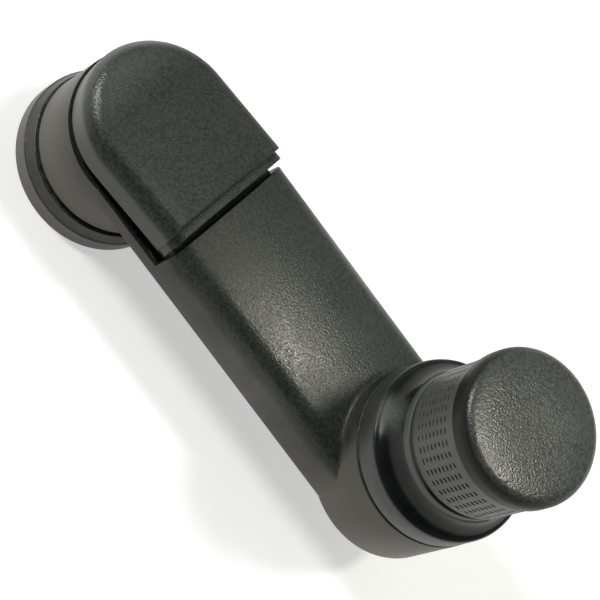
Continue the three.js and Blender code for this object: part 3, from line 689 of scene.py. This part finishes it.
def base_ring():
    """The ring on the door trim, with a raised lip and ribs underneath."""
    tube_outer = RING_TUBE_BORE + RING_TUBE_WALL
    cavity_outer = RING_RADIUS - RING_WALL
    cavity_top = RING_HEIGHT - RING_TOP_WALL
    shell = lathe([
        (cavity_outer, 0), (RING_RADIUS, 0),
        *arc(RING_RADIUS - RING_SHOULDER, RING_WALL_HEIGHT - RING_SHOULDER / 2, RING_SHOULDER,
             0, RING_SHOULDER_TURN, EDGE_STEPS),
        *upper_edge(RING_RADIUS - RING_TOP_INSET, RING_HEIGHT, RING_LIP),
        (RING_TUBE_BORE, RING_HEIGHT), (RING_TUBE_BORE, RING_TUBE_LIFT), (tube_outer, RING_TUBE_LIFT),
        (tube_outer, cavity_top), (cavity_outer, cavity_top),
    ])
    ribs = spokes(RING_RIBS, tube_outer - RING_TUBE_WALL / 2, cavity_outer + RING_WALL / 2, RING_RIB,
                  RING_TUBE_LIFT, cavity_top + RING_TOP_WALL / 2)
    return join(shell, ribs)


def cover_inside():
    """The room inside the cover, made anew for each cut, which uses it up."""
    return head_form(COVER_HALF - COVER_WALL, COVER_END - COVER_WALL, -OVERRUN, COVER_HEIGHT - COVER_WALL,
                     COVER_FILLET - COVER_WALL, COVER_END_ROUND / 2, COVER_CROWN)


def cover_lip():
    """The low step along the cover's straight end."""
    half = COVER_HALF - LIP_INSET
    end = COVER_END + LIP_REACH
    section = crowned_section(half, half, 0, COVER_HEIGHT - COVER_CROWN - LIP_DROP,
                              COVER_FILLET - LIP_INSET, COVER_CROWN)
    lip = bar(section, COVER_END - COVER_WALL, end)
    round_edges(lip, lambda place: abs(place.x - end) < TOUCH and place.z > TOUCH, LIP_ROUND)
    return cut(lip, cover_inside())


def cover_hooks():
    """Two hooks inside the straight end, each a tongue with a bead on its lower half."""
    inner = COVER_END - COVER_WALL
    outer = inner + HOOK_THICKNESS
    bottom = COVER_OPENING - HOOK_DROP
    hooks = []
    for side in (-1, 1):
        y0 = side * HOOK_SPACING / 2 - HOOK_WIDTH / 2
        y1 = side * HOOK_SPACING / 2 + HOOK_WIDTH / 2
        hooks.append(block(inner, outer, y0, y1, bottom, COVER_OPENING + COVER_WALL))
        hooks.append(block(inner, outer + HOOK_BEAD, y0, y1, bottom, COVER_OPENING - HOOK_DROP / 2))
    return hooks


def hub_cover():
    """The clip-on cover, tipped to the place where the frame holds it."""
    outside = head_form(COVER_HALF, COVER_END, 0, COVER_HEIGHT, COVER_FILLET, COVER_END_ROUND, COVER_CROWN)
    half = COVER_HALF - COVER_WALL
    opening = block(0, COVER_END + LIP_REACH + OVERRUN, -half, half, -OVERRUN, COVER_OPENING)
    shell = join(cut(outside, cover_inside()), cover_lip())
    body = join(cut(shell, opening), *cover_hooks())
    tip = Matrix.Rotation(-COVER_AJAR, 4, "Y")
    foot = Matrix.Translation((COVER_HALF, 0, 0))
    body.data.transform(Matrix.Translation((-COVER_HALF, 0, COVER_SEAT)) @ tip @ foot)
    return body


def knob_collar():
    """A straight band, a concave flare that ends upright and a narrow lip."""
    flare_foot = COLLAR_BOTTOM + COLLAR_BAND + COLLAR_BAND_ROUND
    lip_bottom = COLLAR_TOP - COLLAR_LIP
    reach = COLLAR_RADIUS - COLLAR_BAND_ROUND - COLLAR_TOP_RADIUS
    rise = lip_bottom - flare_foot
    flare = (reach ** 2 + rise ** 2) / (2 * reach)
    centre = COLLAR_TOP_RADIUS + flare
    foot = 180 + math.degrees(math.asin(rise / flare))
    inside = arc(centre, lip_bottom, flare + COLLAR_WALL, 180, foot)
    return lathe([
        (STUD_BORE, COLLAR_BOTTOM),
        *lower_edge(COLLAR_RADIUS, COLLAR_BOTTOM, COLLAR_EDGE),
        *upper_edge(COLLAR_RADIUS, flare_foot, COLLAR_BAND_ROUND),
        *arc(centre, lip_bottom, flare, foot, 180)[1:],
        *upper_edge(COLLAR_TOP_RADIUS, COLLAR_TOP, COLLAR_LIP_ROUND),
        (COLLAR_TOP_RADIUS - COLLAR_WALL, COLLAR_TOP), *inside,
        (inside[-1][0], COLLAR_BOTTOM + COLLAR_FLOOR), (STUD_BORE, COLLAR_BOTTOM + COLLAR_FLOOR),
    ], KNOB_X)


def slits():
    """All the short notches of the grip, as one solid of separate rounded prisms that widen outwards."""
    bm = bmesh.new()
    end_round = SLIT_WIDTH / 2
    straight = SLIT_LENGTH / 2 - end_round
    outline = arc(straight, 0, end_round, -90, 90, SLIT_END_STEPS)
    outline += arc(-straight, 0, end_round, 90, 270, SLIT_END_STEPS)
    layers = [(-SLIT_DEPTH, 1 - SLIT_FLARE), (0, 1), (SLIT_DEPTH, 1 + SLIT_FLARE)]
    for column in range(SLIT_COLUMNS):
        turn = Matrix.Rotation(FULL_TURN * column / SLIT_COLUMNS, 4, "Z")
        place = Matrix.Translation((KNOB_X, 0, 0)) @ turn
        for row in range(SLIT_ROWS):
            height = SLEEVE_BOTTOM + SLIT_START + row * SLIT_PITCH
            stack(bm, [
                [bm.verts.new(place @ Vector((SLEEVE_RADIUS + depth, u * size, height + v * size)))
                 for u, v in outline]
                for depth, size in layers
            ])
    return solid_from(bm)


def grip_sleeve():
    """The sleeve that the fingers hold, with its notches."""
    inner = SLEEVE_RADIUS - SLEEVE_WALL
    sleeve = lathe([
        (inner, SLEEVE_BOTTOM), *lower_edge(SLEEVE_RADIUS, SLEEVE_BOTTOM, SLEEVE_EDGE),
        (SLEEVE_RADIUS, SLEEVE_TOP), (inner, SLEEVE_TOP),
    ], KNOB_X, 2 * ROUND_SEGMENTS)
    return cut(sleeve, slits())


def knob_cap():
    """The cap with its crowned top, and a spigot below it."""
    top = CAP_TOP - CAP_CROWN
    ceiling = top - CAP_TOP_WALL
    spigot_bottom = cap_low.z
    return lathe([
        (CAP_SPIGOT_RADIUS - CAP_SPIGOT_WALL, spigot_bottom), (CAP_SPIGOT_RADIUS, spigot_bottom),
        (CAP_SPIGOT_RADIUS, ceiling), (CAP_RADIUS - CAP_SKIRT_WALL, ceiling),
        (CAP_RADIUS - CAP_SKIRT_WALL, CAP_BOTTOM),
        *lower_edge(CAP_RADIUS, CAP_BOTTOM, CAP_EDGE),
        *crowned_edge(CAP_RADIUS, top, CAP_FILLET, CAP_CROWN, CAP_CROWN_POWER), (0, CAP_TOP), (0, ceiling),
        (CAP_SPIGOT_RADIUS - CAP_SPIGOT_WALL, ceiling),
    ], KNOB_X)


class Nodes:
    """A small helper that adds and links shader nodes."""

    def __init__(self, tree):
        self.tree = tree

    def fill(self, socket, value):
        """Sets a socket to a number or colour, or links another node's output to it."""
        if isinstance(value, bpy.types.NodeSocket):
            self.tree.links.new(value, socket)
        else:
            socket.default_value = value

    def add(self, kind, inputs=None, **settings):
        node = self.tree.nodes.new("ShaderNode" + kind)
        for name, value in settings.items():
            setattr(node, name, value)
        for name, value in (inputs or {}).items():
            self.fill(node.inputs[name], value)
        return node

    def place(self):
        """The surface's place in the object, in metres."""
        return self.add("TexCoord").outputs["Object"]

    def parts(self, vector):
        return self.add("SeparateXYZ", {"Vector": vector}).outputs

    def math(self, operation, *values):
        return self.add("Math", dict(enumerate(values)), operation=operation).outputs[0]

    def blend(self, share, first, second, kind="RGBA"):
        """Mixes two colours, or two numbers when the kind is FLOAT."""
        node = self.add("Mix", data_type=kind)
        place, result = (6, 2) if kind == "RGBA" else (2, 0)
        for socket, value in zip((node.inputs[0], *node.inputs[place:place + 2]), (share, first, second)):
            self.fill(socket, value)
        return node.outputs[result]

    def span(self, value, low, high, to_low, to_high):
        """Maps one stretch of a value smoothly to another."""
        node = self.add("MapRange", {"Value": value, "From Min": low, "From Max": high,
                                     "To Min": to_low, "To Max": to_high}, interpolation_type="SMOOTHSTEP")
        return node.outputs["Result"]

    def noise(self, place, size, detail, distortion=0):
        """Noise from 0 to 1 with features of one size."""
        node = self.add("TexNoise", {"Vector": place, "Scale": 1 / size, "Detail": detail,
                                     "Distortion": distortion})
        return node.outputs["Fac"]

    def mottle(self, flow, colour, darkest, palest):
        """A colour that varies with a noise between two tones."""
        return self.blend(self.span(flow, *FLOW_RANGE, 0, 1), shade(colour, darkest), shade(colour, palest))

    def bump(self, shader, height, strength, distance):
        node = self.add("Bump", {"Height": height, "Strength": strength, "Distance": distance})
        self.fill(shader.inputs["Normal"], node.outputs["Normal"])


def shade(colour, share=1):
    """A colour made lighter or darker, with its alpha."""
    return (*(part * share for part in colour), 1)


def new_material(name):
    """A material with its node helper and its shader."""
    material = bpy.data.materials.new(name)
    material.use_nodes = True
    return material, Nodes(material.node_tree), material.node_tree.nodes["Principled BSDF"]


def top_tone(nodes, place, patches, colour):
    """A finely speckled tone with paler patches."""
    speckle = nodes.span(nodes.noise(place, SPECKLE_SIZE, detail=3), *SPECKLE_RANGE, 0, 1)
    tone = nodes.blend(speckle, shade(colour, 1 - SPECKLE_DEPTH), shade(colour, 1 + SPECKLE_DEPTH))
    return nodes.blend(nodes.span(patches, *PATCH_RANGE, 0, PATCH_SHARE), tone, shade(colour, PATCH_TONE))


def side_tone(nodes, along, level, patches, colour, low_colour, levels, painted_end_reflection):
    """A plain tone that turns to the low colour, a painted reflection of the floor, near the ground and
    towards the far end, and that is paler in patches.
    """
    tone = nodes.blend(nodes.span(level, *levels, 0, 1), shade(low_colour), shade(colour))
    # Towards the far end the walls are painted paler still, a painted reflection of the floor
    if painted_end_reflection:
        tone = nodes.blend(nodes.span(along, PAINTED_END_REFLECTION_FROM, PAINTED_END_REFLECTION_TO, 0, painted_end_reflection), tone, shade(low_colour))
    return nodes.blend(nodes.span(patches, *SIDE_PATCH_RANGE, 0, SIDE_PATCH_SHARE), tone,
                       shade(low_colour, SIDE_PATCH_TONE))


def grain_relief(nodes, place, facing):
    """The height of the moulded grain, which is weaker on walls than on tops."""
    cells = nodes.add("TexVoronoi", {"Vector": place, "Scale": 1 / GRAIN_SIZE}).outputs["Distance"]
    fine = nodes.noise(place, GRAIN_SIZE, detail=2)
    relief = nodes.math("MULTIPLY_ADD", fine, GRAIN_NOISE, cells)
    return nodes.math("MULTIPLY", relief, nodes.span(facing, *GRAIN_FACING, WALL_GRAIN, 1))


def top_gloss(nodes, along, patches, polish):
    """Roughness and specular level of a top, which dulls away from its polished place if it has one."""
    roughness = nodes.span(patches, *FLOW_RANGE, *TOP_ROUGHNESS)
    if polish is None:
        return roughness, SPECULAR
    middle, reach, specular = polish
    away = nodes.math("ABSOLUTE", nodes.math("SUBTRACT", along, middle))
    near = nodes.span(away, 0, reach, 1, 0)
    return (nodes.blend(near, DULL_ROUGHNESS, roughness, "FLOAT"),
            nodes.blend(near, DULL_SPECULAR, specular, "FLOAT"))


def grained_plastic(name, colour, side_colour, low_colour=None, levels=(PALE_BELOW, PLAIN_ABOVE),
                    top_from=TOP_FROM, painted_end_reflection=0, grain=1, polish=None, side_specular=None):
    """Scuffed moulded plastic with a grain. Its side walls and rounded edges take a tone of their own:
    painted shade on some pieces, a painted reflection of the floor on others.
    """
    material, nodes, shader = new_material(name)
    place = nodes.place()
    along, _, level = nodes.parts(place)
    facing = nodes.parts(nodes.add("TexCoord").outputs["Normal"])["Z"]
    upward = nodes.span(facing, *top_from, 0, 1)
    patches = nodes.noise(place, PATCH_SIZE, detail=4)
    scuffs = nodes.noise(place, SCUFF_SIZE, detail=6, distortion=SCUFF_DISTORTION)
    side = side_tone(nodes, along, level, patches, side_colour, low_colour or side_colour, levels, painted_end_reflection)
    # Tops take the top tone and walls the side tone, so one plastic gets painted light and painted shade
    tone = nodes.blend(upward, side, top_tone(nodes, place, patches, colour))
    scuff_share = nodes.span(scuffs, *SCUFF_RANGE, 0, SCUFF_SHARE)
    nodes.fill(shader.inputs["Base Color"], nodes.blend(scuff_share, tone, shade(colour, SCUFF_TONE)))
    nodes.bump(shader, grain_relief(nodes, place, facing), 1, grain * GRAIN_HEIGHT)
    roughness, specular = top_gloss(nodes, along, patches, polish)
    glossy = nodes.span(facing, *GLOSSY_FROM, 0, 1)
    nodes.fill(shader.inputs["Roughness"], nodes.blend(glossy, SIDE_ROUGHNESS, roughness, "FLOAT"))
    if side_specular is not None:
        specular = nodes.blend(upward, side_specular, specular, "FLOAT")
    nodes.fill(shader.inputs["Specular IOR Level"], specular)
    return material


def arm_plastic():
    """Polished in the arm's middle. Its rounded edges are darker, which is painted shade, and its walls are
    painted pale as a reflection of the floor, low down and at the far end.
    """
    return grained_plastic("arm_plastic", colour=(0.02, 0.022, 0.0185), side_colour=(0.012, 0.013, 0.011),
                           low_colour=(0.12, 0.113, 0.098), painted_end_reflection=ARM_PAINTED_END_REFLECTION,
                           polish=(ARM_SHINE_AT, ARM_SHINE_REACH, SPECULAR))


def ring_plastic():
    """Pale on the outer wall, a painted reflection of the floor, and dark in a band above it, painted
    shade.
    """
    return grained_plastic("ring_plastic", colour=(0.028, 0.031, 0.027), side_colour=(0.02, 0.022, 0.02),
                           low_colour=(0.125, 0.118, 0.104), levels=(RING_PALE_TO, RING_PLAIN_FROM))


def cover_plastic():
    """Polished at the cover's round end, with a skirt painted pale as a reflection of the floor."""
    return grained_plastic("cover_plastic", colour=(0.019, 0.0225, 0.02), side_colour=(0.068, 0.068, 0.06),
                           low_colour=(0.095, 0.095, 0.085), top_from=COVER_TOP_FROM, grain=COVER_GRAIN,
                           polish=(COVER_SHINE_AT, COVER_SHINE_REACH, COVER_SPECULAR))


def grip_plastic():
    """Paler on its notched side than on its end: a painted reflection of the floor."""
    return grained_plastic("grip_plastic", colour=(0.034, 0.037, 0.033), side_colour=(0.068, 0.07, 0.063))


def cap_plastic():
    """A paler top, painted light, and a dark, dull side, painted shade."""
    return grained_plastic("cap_plastic", colour=(0.036, 0.038, 0.034), side_colour=(0.009, 0.01, 0.009),
                           top_from=CAP_TOP_FROM, grain=CAP_GRAIN, side_specular=CAP_SIDE_SPECULAR)


def collar_plastic():
    """A polished flare with a scuffed patch that also carries a painted reflection of the arm's highlight,
    between a straight band and a lip that are worn by rubbing and also carry a painted reflection of the
    floor.
    """
    material, nodes, shader = new_material("collar_black")
    colour = (0.007, 0.008, 0.008)
    # Pale tone of band and lip: worn plastic and a painted reflection of the floor
    rubbed_and_reflection_colour = (0.035, 0.037, 0.033)
    place = nodes.place()
    level = nodes.parts(place)["Z"]
    band_top = (COLLAR_BOTTOM + COLLAR_BAND) * MM
    lip_bottom = (COLLAR_TOP - COLLAR_LIP) * MM
    band = nodes.span(level, band_top, band_top + RUBBED_AND_REFLECTION_EDGE, 1, 0)
    lip = nodes.span(level, lip_bottom - RUBBED_AND_REFLECTION_EDGE / 3, lip_bottom, 0, 1)
    flow = nodes.noise(place, COLLAR_FLOW_SIZE, detail=4, distortion=FLOW_DISTORTION)
    fine = nodes.noise(place, COLLAR_FINE_SIZE, detail=3)
    # A rough scuffed patch on the flare, painted pale as a reflection of the arm's highlight
    far = nodes.add("VectorMath", {0: place, 1: SCUFF_AND_REFLECTION_PLACE}, operation="DISTANCE").outputs["Value"]
    scuff_and_reflection = nodes.math("MULTIPLY", nodes.span(far, 0, SCUFF_AND_REFLECTION_REACH, 1, 0),
                       nodes.span(fine, *COLLAR_SCUFF_AND_REFLECTION_RANGE, COLLAR_SCUFF_AND_REFLECTION_LEAST, 1))
    rubbed_and_reflection = nodes.math("MAXIMUM", band, lip)
    matt = nodes.math("MAXIMUM", rubbed_and_reflection, scuff_and_reflection)
    flare = nodes.mottle(flow, colour, *FLARE_TONES)
    dark = nodes.blend(scuff_and_reflection, flare, shade(rubbed_and_reflection_colour, COLLAR_REFLECTION_TONE))
    # The lip is painted paler still, a painted reflection of the floor
    pale = nodes.blend(lip, nodes.mottle(flow, rubbed_and_reflection_colour, *BAND_TONES), shade(rubbed_and_reflection_colour, LIP_TONE))
    nodes.fill(shader.inputs["Base Color"], nodes.blend(rubbed_and_reflection, dark, pale))
    roughness = nodes.blend(matt, FLARE_ROUGHNESS, SIDE_ROUGHNESS, "FLOAT")
    nodes.fill(shader.inputs["Roughness"], nodes.blend(scuff_and_reflection, roughness, SCUFF_ROUGHNESS, "FLOAT"))
    nodes.fill(shader.inputs["Specular IOR Level"], nodes.blend(matt, SPECULAR / 2, SPECULAR, "FLOAT"))
    nodes.bump(shader, fine, COLLAR_BUMP, COLLAR_FINE_HEIGHT)
    return material


def smooth_plastic(name, colour, roughness, mottle=0.15):
    """Plain moulded plastic with faint flow marks."""
    material, nodes, shader = new_material(name)
    place = nodes.place()
    flow = nodes.noise(place, FLOW_SIZE, detail=4, distortion=FLOW_DISTORTION)
    nodes.fill(shader.inputs["Base Color"], nodes.mottle(flow, colour, 1 - mottle, 1 + mottle))
    least, most = (roughness + change for change in FLOW_ROUGHNESS)
    nodes.fill(shader.inputs["Roughness"], nodes.span(flow, *FLOW_RANGE, least, most))
    nodes.bump(shader, nodes.noise(place, FINE_SIZE, detail=2), PLASTIC_BUMP, FINE_HEIGHT)
    return material


def plain_metal(name, colour, roughness, turned=False):
    """Stained metal with faint machining rings or plating mottle."""
    material, nodes, shader = new_material(name)
    place = nodes.place()
    if turned:
        waves = nodes.add("TexWave", {"Vector": place, "Scale": 1 / TURNING_PITCH, "Detail": 2,
                                      "Distortion": TURNING_DISTORTION},
                          wave_type="BANDS", bands_direction="Z")
        marks = waves.outputs["Fac"]
    else:
        marks = nodes.noise(place, PLATING_SIZE, detail=4)
    stain = nodes.noise(place, STAIN_SIZE, detail=5)
    stained = nodes.span(stain, *STAIN_RANGE, 0, STAIN_SHARE)
    nodes.fill(shader.inputs["Base Color"], nodes.blend(stained, shade(colour), shade(colour, STAIN_TONE)))
    nodes.fill(shader.inputs["Roughness"],
               nodes.span(stain, *FLOW_RANGE, roughness, roughness + STAIN_ROUGHNESS))
    nodes.fill(shader.inputs["Metallic"], 1)
    nodes.bump(shader, marks, METAL_BUMP, FINE_HEIGHT)
    return material


def dress_node(name, material):
    """Gives a CAD node that keeps its own form its material."""
    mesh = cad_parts[name].data
    mesh.materials.clear()
    mesh.materials.append(material)


def look_axes():
    """The camera's right, up and back directions in the photograph."""
    a, e, r = CAMERA_AZIMUTH, CAMERA_ELEVATION, CAMERA_ROLL
    back = Vector((math.sin(a) * math.cos(e), -math.cos(a) * math.cos(e), math.sin(e)))
    level = Vector((math.cos(a), math.sin(a), 0))
    steep = back.cross(level)
    right = math.cos(r) * level + math.sin(r) * steep
    up = -math.sin(r) * level + math.cos(r) * steep
    return right, up, back


def add_camera():
    """The camera that took the photograph."""
    right, up, back = look_axes()
    data = bpy.data.cameras.new("photo_view")
    data.sensor_width = SENSOR_MM
    data.lens = FOCAL_PIXELS / PICTURE_PIXELS * SENSOR_MM
    data.clip_start = CLIP_NEAR
    data.clip_end = CLIP_FAR
    camera = bpy.data.objects.new("photo_view", data)
    place = CAMERA_TARGET + CAMERA_DISTANCE * back + CAMERA_SHIFT_RIGHT * right + CAMERA_SHIFT_UP * up
    turn = Matrix((right, up, back)).transposed().to_4x4()
    camera.matrix_world = Matrix.Translation(place) @ turn
    bpy.context.scene.collection.objects.link(camera)
    bpy.context.scene.camera = camera


def white_floor():
    """Pale plastic that looks white to the camera and in reflections, and still takes a shadow."""
    material, nodes, shader = new_material("white_floor")
    shader.inputs["Base Color"].default_value = FLOOR_COLOUR
    shader.inputs["Roughness"].default_value = FLOOR_ROUGHNESS
    shader.inputs["Specular IOR Level"].default_value = 0
    shader.inputs["Emission Color"].default_value = (1, 1, 1, 1)
    rays = nodes.add("LightPath").outputs
    seen = nodes.math("MAXIMUM", rays["Is Camera Ray"], rays["Is Glossy Ray"])
    seen = nodes.math("MAXIMUM", seen, rays["Is Transmission Ray"])
    nodes.fill(shader.inputs["Emission Strength"], nodes.math("MULTIPLY", seen, FLOOR_GLOW))
    return material


def add_floor():
    """A white floor that rises gently far away, so that it also backs low views."""
    curve = [(0, 0), (FLOOR_RADIUS, 0)]
    for i in range(1, FLOOR_STEPS + 1):
        share = i / FLOOR_STEPS
        radius = FLOOR_RADIUS + (FLOOR_RIM_RADIUS - FLOOR_RADIUS) * share
        curve.append((radius, FLOOR_RIM_HEIGHT * share ** 2))
    bm = bmesh.new()
    loops = turned_loops(bm, curve, 0, FLOOR_SEGMENTS)
    for here, ahead in zip(loops, loops[1:]):
        bridge(bm, here, ahead)
    floor = solid_from(bm)
    floor.name = "floor"
    floor.data.transform(Matrix.Scale(MM, 4))
    floor.data.polygons.foreach_set("use_smooth", [True] * len(floor.data.polygons))
    floor.data.materials.append(white_floor())


def add_sun(name, direction, strength, spread, colour=(1, 1, 1)):
    """A far lamp that shines from a direction."""
    data = bpy.data.lights.new(name, "SUN")
    data.energy = strength
    data.angle = spread
    data.color = colour
    lamp = bpy.data.objects.new(name, data)
    lamp.rotation_mode = "QUATERNION"
    lamp.rotation_quaternion = Vector(direction).to_track_quat("Z", "Y")
    bpy.context.scene.collection.objects.link(lamp)


def add_lights():
    """A wide overhead light, two small lamps for the highlights and a room darker at the front."""
    bpy.context.scene.view_settings.view_transform = "Standard"
    world = bpy.data.worlds.new("room")
    world.use_nodes = True
    nodes = Nodes(world.node_tree)
    direction = nodes.add("TexCoord").outputs["Generated"]
    turned = nodes.add("VectorMath", {0: direction, 1: ROOM_BRIGHT_SIDE}, operation="DOT_PRODUCT")
    tone = nodes.blend(nodes.span(turned.outputs["Value"], *ROOM_FADE, 0, 1), ROOM_FRONT, ROOM_BACK)
    nodes.fill(world.node_tree.nodes["Background"].inputs["Color"], tone)
    bpy.context.scene.world = world
    add_sun("overhead", OVERHEAD_DIRECTION, OVERHEAD_STRENGTH, OVERHEAD_SPREAD)
    add_sun("lamp", LAMP_DIRECTION, LAMP_STRENGTH, LAMP_SPREAD, LAMP_COLOUR)
    add_sun("rim", RIM_DIRECTION, RIM_STRENGTH, RIM_SPREAD)


finish_piece(crank_arm(), "crank_arm_moulding", "handle", "grained_plastic", arm_plastic(), "crank_arm")
finish_piece(base_ring(), "base_ring_moulding", "ring", "grained_plastic", ring_plastic(), "base_ring")
finish_piece(hub_cover(), "hub_cover_shell", "cover", "grained_plastic", cover_plastic(), "hub_cover")
finish_piece(knob_collar(), "knob_collar_cone", "handle", "gloss_black_plastic", collar_plastic(),
             "knob_collar")
finish_piece(grip_sleeve(), "grip_sleeve_notched", "knob", "grained_plastic", grip_plastic(), "grip_sleeve")
finish_piece(knob_cap(), "knob_cap_domed", "knob", "grained_plastic", cap_plastic(), "knob_cap")

dress_node("knob_core", smooth_plastic("inner_plastic", (0.018, 0.019, 0.020), 0.45))
dress_node("knob_bush", smooth_plastic("nylon", (0.7, 0.66, 0.55), 0.4, 0.06))
dress_node("friction_washer", smooth_plastic("fibre", (0.16, 0.1, 0.06), 0.8, 0.3))
steel = plain_metal("steel", (0.5, 0.51, 0.52), 0.3, turned=True)
for node in ("spline_insert", "knob_stud", "lock_washer", "wave_washer", "retaining_clip"):
    dress_node(node, steel)
zinc = plain_metal("zinc_plate", (0.66, 0.67, 0.63), 0.25)
for node in ("hub_screw", "screw_washer", "stud_foot_washer", "stud_top_washer"):
    dress_node(node, zinc)

add_floor()
add_lights()
add_camera()
